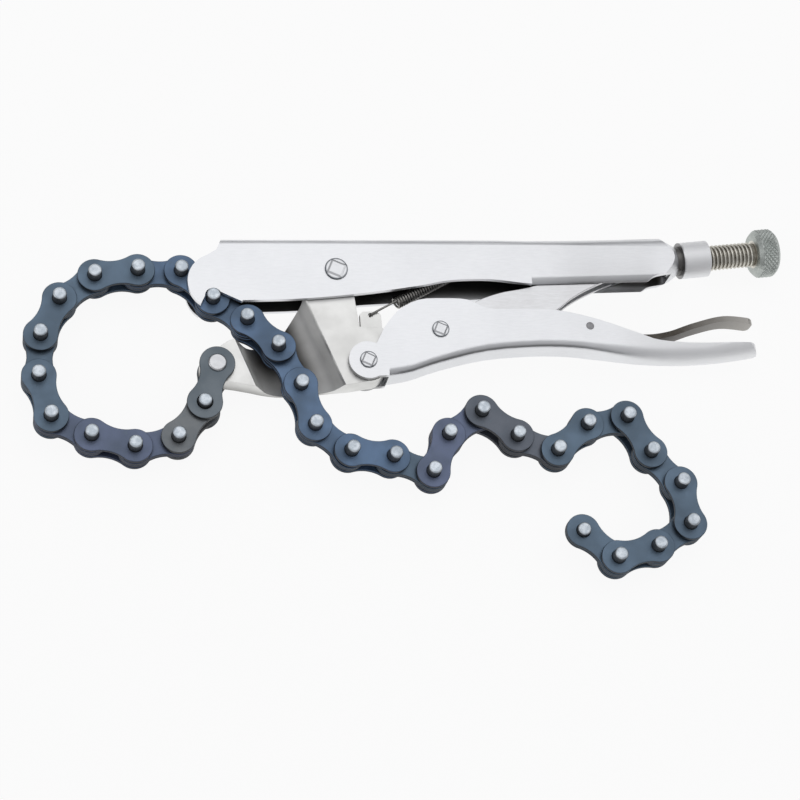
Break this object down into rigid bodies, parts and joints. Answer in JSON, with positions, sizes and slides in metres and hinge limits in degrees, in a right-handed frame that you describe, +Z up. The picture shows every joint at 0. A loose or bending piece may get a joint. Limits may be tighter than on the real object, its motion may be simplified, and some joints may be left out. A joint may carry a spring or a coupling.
{
  "type": "locking chain clamp",
  "caption": "Locking plier clamp with a riveted chain that loops round a pipe, hooks by one pin into the upper handle's nose and is drawn tight by an over-centre toggle.",
  "frame": {"origin": "under the middle of the whole tool as it lies on its side, at the level of its lowest point, the knob's rim", "axes": "+X along the upper handle from the chain loop to the knob, +Y across the tool towards the upper handle's spine, +Z up out of the side that faces the viewer, along every hinge"},
  "size_m": [0.2912, 0.1392, 0.023],
  "materials": {
    "plated_steel": "satin nickel plate",
    "forged_steel": "satin nickel plate over a forged surface",
    "rivet_steel": "bright, slightly domed",
    "chain_plate": "blued and polished",
    "link_steel": "satin",
    "lever_steel": "dark, plated",
    "screw_steel": "plated, threaded and knurled",
    "spring_steel": "bright wire"
  },
  "bodies": {
    "upper_handle": {"upper_handle": "plated_steel", "jaw_rivet": "rivet_steel", "return_spring": "spring_steel"},
    "lower_jaw": {"lower_jaw": "forged_steel"},
    "lower_handle": {"lower_handle": "plated_steel", "handle_rivet": "rivet_steel", "toggle_rivet": "rivet_steel", "lever_pin": "rivet_steel"},
    "toggle_link": {"toggle_link": "link_steel"},
    "release_lever": {"release_lever": "lever_steel"},
    "adjusting_screw": {"adjusting_screw": "screw_steel"},
    "end_connector": {"end_connector": "chain_plate", "anchor_rivet": "rivet_steel"},
    "chain_link_02": {"chain_link_02": "chain_plate"},
    "chain_link_03": {"chain_link_03": "chain_plate"},
    "chain_link_04": {"chain_link_04": "chain_plate"},
    "chain_link_05": {"chain_link_05": "chain_plate"},
    "chain_link_06": {"chain_link_06": "chain_plate"},
    "chain_link_07": {"chain_link_07": "chain_plate"},
    "chain_link_08": {"chain_link_08": "chain_plate"},
    "chain_link_09": {"chain_link_09": "chain_plate"},
    "chain_link_10": {"chain_link_10": "chain_plate"},
    "chain_link_11": {"chain_link_11": "chain_plate"},
    "chain_link_12": {"chain_link_12": "chain_plate"},
    "chain_link_13": {"chain_link_13": "chain_plate"},
    "chain_link_14": {"chain_link_14": "chain_plate"},
    "chain_link_15": {"chain_link_15": "chain_plate"},
    "chain_link_16": {"chain_link_16": "chain_plate"},
    "chain_link_17": {"chain_link_17": "chain_plate"},
    "chain_link_18": {"chain_link_18": "chain_plate"},
    "chain_link_19": {"chain_link_19": "chain_plate"},
    "chain_link_20": {"chain_link_20": "chain_plate"},
    "chain_link_21": {"chain_link_21": "chain_plate"},
    "chain_link_22": {"chain_link_22": "chain_plate"},
    "chain_link_23": {"chain_link_23": "chain_plate"},
    "chain_link_24": {"chain_link_24": "chain_plate"},
    "chain_link_25": {"chain_link_25": "chain_plate"},
    "chain_link_26": {"chain_link_26": "chain_plate"},
    "chain_link_27": {"chain_link_27": "chain_plate"},
    "chain_link_28": {"chain_link_28": "chain_plate"},
    "chain_link_29": {"chain_link_29": "chain_plate"},
    "chain_link_30": {"chain_link_30": "chain_plate"},
    "chain_link_31": {"chain_link_31": "chain_plate"}
  },
  "joints": [
    {"name": "jaw_pivot", "type": "hinge", "parent": "upper_handle", "child": "lower_jaw", "pos_m": [-0.0295, 0.05017, 0.0095], "axis": [0, 0, 1], "range_deg": [0, 9], "deforming": ["return_spring"]},
    {"name": "handle_pivot", "type": "hinge", "parent": "lower_jaw", "child": "lower_handle", "pos_m": [-0.02, 0.01367, 0.0095], "axis": [0, 0, 1], "range_deg": [-44, 0]},
    {"name": "toggle_pivot", "type": "hinge", "parent": "lower_handle", "child": "toggle_link", "pos_m": [0.008, 0.02567, 0.0095], "axis": [0, 0, 1], "range_deg": [0, 46]},
    {"name": "release_lever_pivot", "type": "hinge", "parent": "lower_handle", "child": "release_lever", "pos_m": [0.0655, 0.02667, 0.0095], "axis": [0, 0, 1], "range_deg": [-6, 0]},
    {"name": "screw_travel", "type": "slide", "parent": "upper_handle", "child": "adjusting_screw", "axis": [0.9954, 0.0958, 0], "range_m": [0, 0.014]},
    {"name": "anchor_pivot", "type": "hinge", "parent": "lower_jaw", "child": "end_connector", "pos_m": [-0.0755, 0.01317, 0.0095], "axis": [0, 0, 1], "range_deg": [-19.9, 1.4]},
    {"name": "chain_joint_02", "type": "hinge", "parent": "end_connector", "child": "chain_link_02", "pos_m": [-0.08071, -0.00183, 0.0095], "axis": [0, 0, 1], "range_deg": [-0.9, 9.8]},
    {"name": "chain_joint_03", "type": "hinge", "parent": "chain_link_02", "child": "chain_link_03", "pos_m": [-0.09053, -0.0143, 0.0095], "axis": [0, 0, 1], "range_deg": [-8.3, 0.9]},
    {"name": "chain_joint_04", "type": "hinge", "parent": "chain_link_03", "child": "chain_link_04", "pos_m": [-0.10607, -0.01754, 0.0095], "axis": [0, 0, 1], "range_deg": [-1, 11.4]},
    {"name": "chain_joint_05", "type": "hinge", "parent": "chain_link_04", "child": "chain_link_05", "pos_m": [-0.12131, -0.0131, 0.0095], "axis": [0, 0, 1], "range_deg": [-8.1, 0.9]},
    {"name": "chain_joint_06", "type": "hinge", "parent": "chain_link_05", "child": "chain_link_06", "pos_m": [-0.13529, -0.00558, 0.0095], "axis": [0, 0, 1], "range_deg": [-1.1, 13.3]},
    {"name": "chain_joint_07", "type": "hinge", "parent": "chain_link_06", "child": "chain_link_07", "pos_m": [-0.13932, 0.00978, 0.0095], "axis": [0, 0, 1], "range_deg": [-8.3, 0.9]},
    {"name": "chain_joint_08", "type": "hinge", "parent": "chain_link_07", "child": "chain_link_08", "pos_m": [-0.1384, 0.02562, 0.0095], "axis": [0, 0, 1], "range_deg": [-1, 10.4]},
    {"name": "chain_joint_09", "type": "hinge", "parent": "chain_link_08", "child": "chain_link_09", "pos_m": [-0.13135, 0.03985, 0.0095], "axis": [0, 0, 1], "range_deg": [-10.2, 1]},
    {"name": "chain_joint_10", "type": "hinge", "parent": "chain_link_09", "child": "chain_link_10", "pos_m": [-0.11844, 0.04909, 0.0095], "axis": [0, 0, 1], "range_deg": [-0.9, 9]},
    {"name": "chain_joint_11", "type": "hinge", "parent": "chain_link_10", "child": "chain_link_11", "pos_m": [-0.10271, 0.05119, 0.0095], "axis": [0, 0, 1], "range_deg": [-11.2, 1]},
    {"name": "chain_joint_12", "type": "hinge", "parent": "chain_link_11", "child": "chain_link_12", "pos_m": [-0.08683, 0.05079, 0.0095], "axis": [0, 0, 1], "range_deg": [-0.8, 6.8]},
    {"name": "chain_joint_13", "type": "hinge", "parent": "chain_link_12", "child": "chain_link_13", "pos_m": [-0.0757, 0.03947, 0.00964], "axis": [0, 0, 1], "range_deg": [-4.8, 0.7]},
    {"name": "chain_joint_14", "type": "hinge", "parent": "chain_link_13", "child": "chain_link_14", "pos_m": [-0.0633, 0.02978, 0.01171], "axis": [0, 0, 1], "range_deg": [-3, 1]},
    {"name": "chain_joint_15", "type": "hinge", "parent": "chain_link_14", "child": "chain_link_15", "pos_m": [-0.0528, 0.01811, 0.01406], "axis": [0, 0, 1], "range_deg": [-3, 1]},
    {"name": "chain_joint_16", "type": "hinge", "parent": "chain_link_15", "child": "chain_link_16", "pos_m": [-0.04609, 0.00373, 0.01447], "axis": [0, 0, 1], "range_deg": [-3, 1]},
    {"name": "chain_joint_17", "type": "hinge", "parent": "chain_link_16", "child": "chain_link_17", "pos_m": [-0.04172, -0.01149, 0.01337], "axis": [0, 0, 1], "range_deg": [-43, 2.5]},
    {"name": "chain_joint_18", "type": "hinge", "parent": "chain_link_17", "child": "chain_link_18", "pos_m": [-0.02928, -0.02121, 0.01171], "axis": [0, 0, 1], "range_deg": [-10, 1.5]},
    {"name": "chain_joint_19", "type": "hinge", "parent": "chain_link_18", "child": "chain_link_19", "pos_m": [-0.01361, -0.02314, 0.01005], "axis": [0, 0, 1], "range_deg": [-12, 1.5]},
    {"name": "chain_joint_20", "type": "hinge", "parent": "chain_link_19", "child": "chain_link_20", "pos_m": [0.0011, -0.02908, 0.00949], "axis": [0, 0, 1], "range_deg": [-12, 2]},
    {"name": "chain_joint_21", "type": "hinge", "parent": "chain_link_20", "child": "chain_link_21", "pos_m": [0.00806, -0.01481, 0.00949], "axis": [0, 0, 1], "range_deg": [-12, 2]},
    {"name": "chain_joint_22", "type": "hinge", "parent": "chain_link_21", "child": "chain_link_22", "pos_m": [0.02122, -0.00594, 0.00949], "axis": [0, 0, 1], "range_deg": [-12, 2]},
    {"name": "chain_joint_23", "type": "hinge", "parent": "chain_link_22", "child": "chain_link_23", "pos_m": [0.03373, -0.01571, 0.00949], "axis": [0, 0, 1], "range_deg": [-12, 3]},
    {"name": "chain_joint_24", "type": "hinge", "parent": "chain_link_23", "child": "chain_link_24", "pos_m": [0.04845, -0.02166, 0.00949], "axis": [0, 0, 1], "range_deg": [-6, 4]},
    {"name": "chain_joint_25", "type": "hinge", "parent": "chain_link_24", "child": "chain_link_25", "pos_m": [0.06078, -0.01167, 0.00949], "axis": [0, 0, 1], "range_deg": [-6, 5]},
    {"name": "chain_joint_26", "type": "hinge", "parent": "chain_link_25", "child": "chain_link_26", "pos_m": [0.07642, -0.00891, 0.00949], "axis": [0, 0, 1], "range_deg": [-6, 6]},
    {"name": "chain_joint_27", "type": "hinge", "parent": "chain_link_26", "child": "chain_link_27", "pos_m": [0.08387, -0.02293, 0.00949], "axis": [0, 0, 1], "range_deg": [-5, 8]},
    {"name": "chain_joint_28", "type": "hinge", "parent": "chain_link_27", "child": "chain_link_28", "pos_m": [0.09386, -0.03526, 0.00949], "axis": [0, 0, 1], "range_deg": [-5, 10]},
    {"name": "chain_joint_29", "type": "hinge", "parent": "chain_link_28", "child": "chain_link_29", "pos_m": [0.09552, -0.05105, 0.00949], "axis": [0, 0, 1], "range_deg": [-5, 12]},
    {"name": "chain_joint_30", "type": "hinge", "parent": "chain_link_29", "child": "chain_link_30", "pos_m": [0.08206, -0.05946, 0.00949], "axis": [0, 0, 1], "range_deg": [-5, 15]},
    {"name": "chain_joint_31", "type": "hinge", "parent": "chain_link_30", "child": "chain_link_31", "pos_m": [0.06666, -0.06331, 0.00949], "axis": [0, 0, 1], "range_deg": [-5, 25]}
  ],
  "couplings": [
    {"joint": "handle_pivot", "follows": "jaw_pivot", "ratio": -4.7},
    {"joint": "toggle_pivot", "follows": "jaw_pivot", "ratio": 4.86},
    {"joint": "anchor_pivot", "follows": "jaw_pivot", "ratio": -2.048},
    {"joint": "chain_joint_02", "follows": "jaw_pivot", "ratio": 0.987},
    {"joint": "chain_joint_03", "follows": "jaw_pivot", "ratio": -0.827},
    {"joint": "chain_joint_04", "follows": "jaw_pivot", "ratio": 1.153},
    {"joint": "chain_joint_05", "follows": "jaw_pivot", "ratio": -0.801},
    {"joint": "chain_joint_06", "follows": "jaw_pivot", "ratio": 1.352},
    {"joint": "chain_joint_07", "follows": "jaw_pivot", "ratio": -0.824},
    {"joint": "chain_joint_08", "follows": "jaw_pivot", "ratio": 1.05},
    {"joint": "chain_joint_09", "follows": "jaw_pivot", "ratio": -1.024},
    {"joint": "chain_joint_10", "follows": "jaw_pivot", "ratio": 0.902},
    {"joint": "chain_joint_11", "follows": "jaw_pivot", "ratio": -1.136},
    {"joint": "chain_joint_12", "follows": "jaw_pivot", "ratio": 0.671},
    {"joint": "chain_joint_13", "follows": "jaw_pivot", "ratio": -0.455},
    {"joint": "chain_joint_17", "follows": "jaw_pivot", "ratio": -4.5}
  ]
}
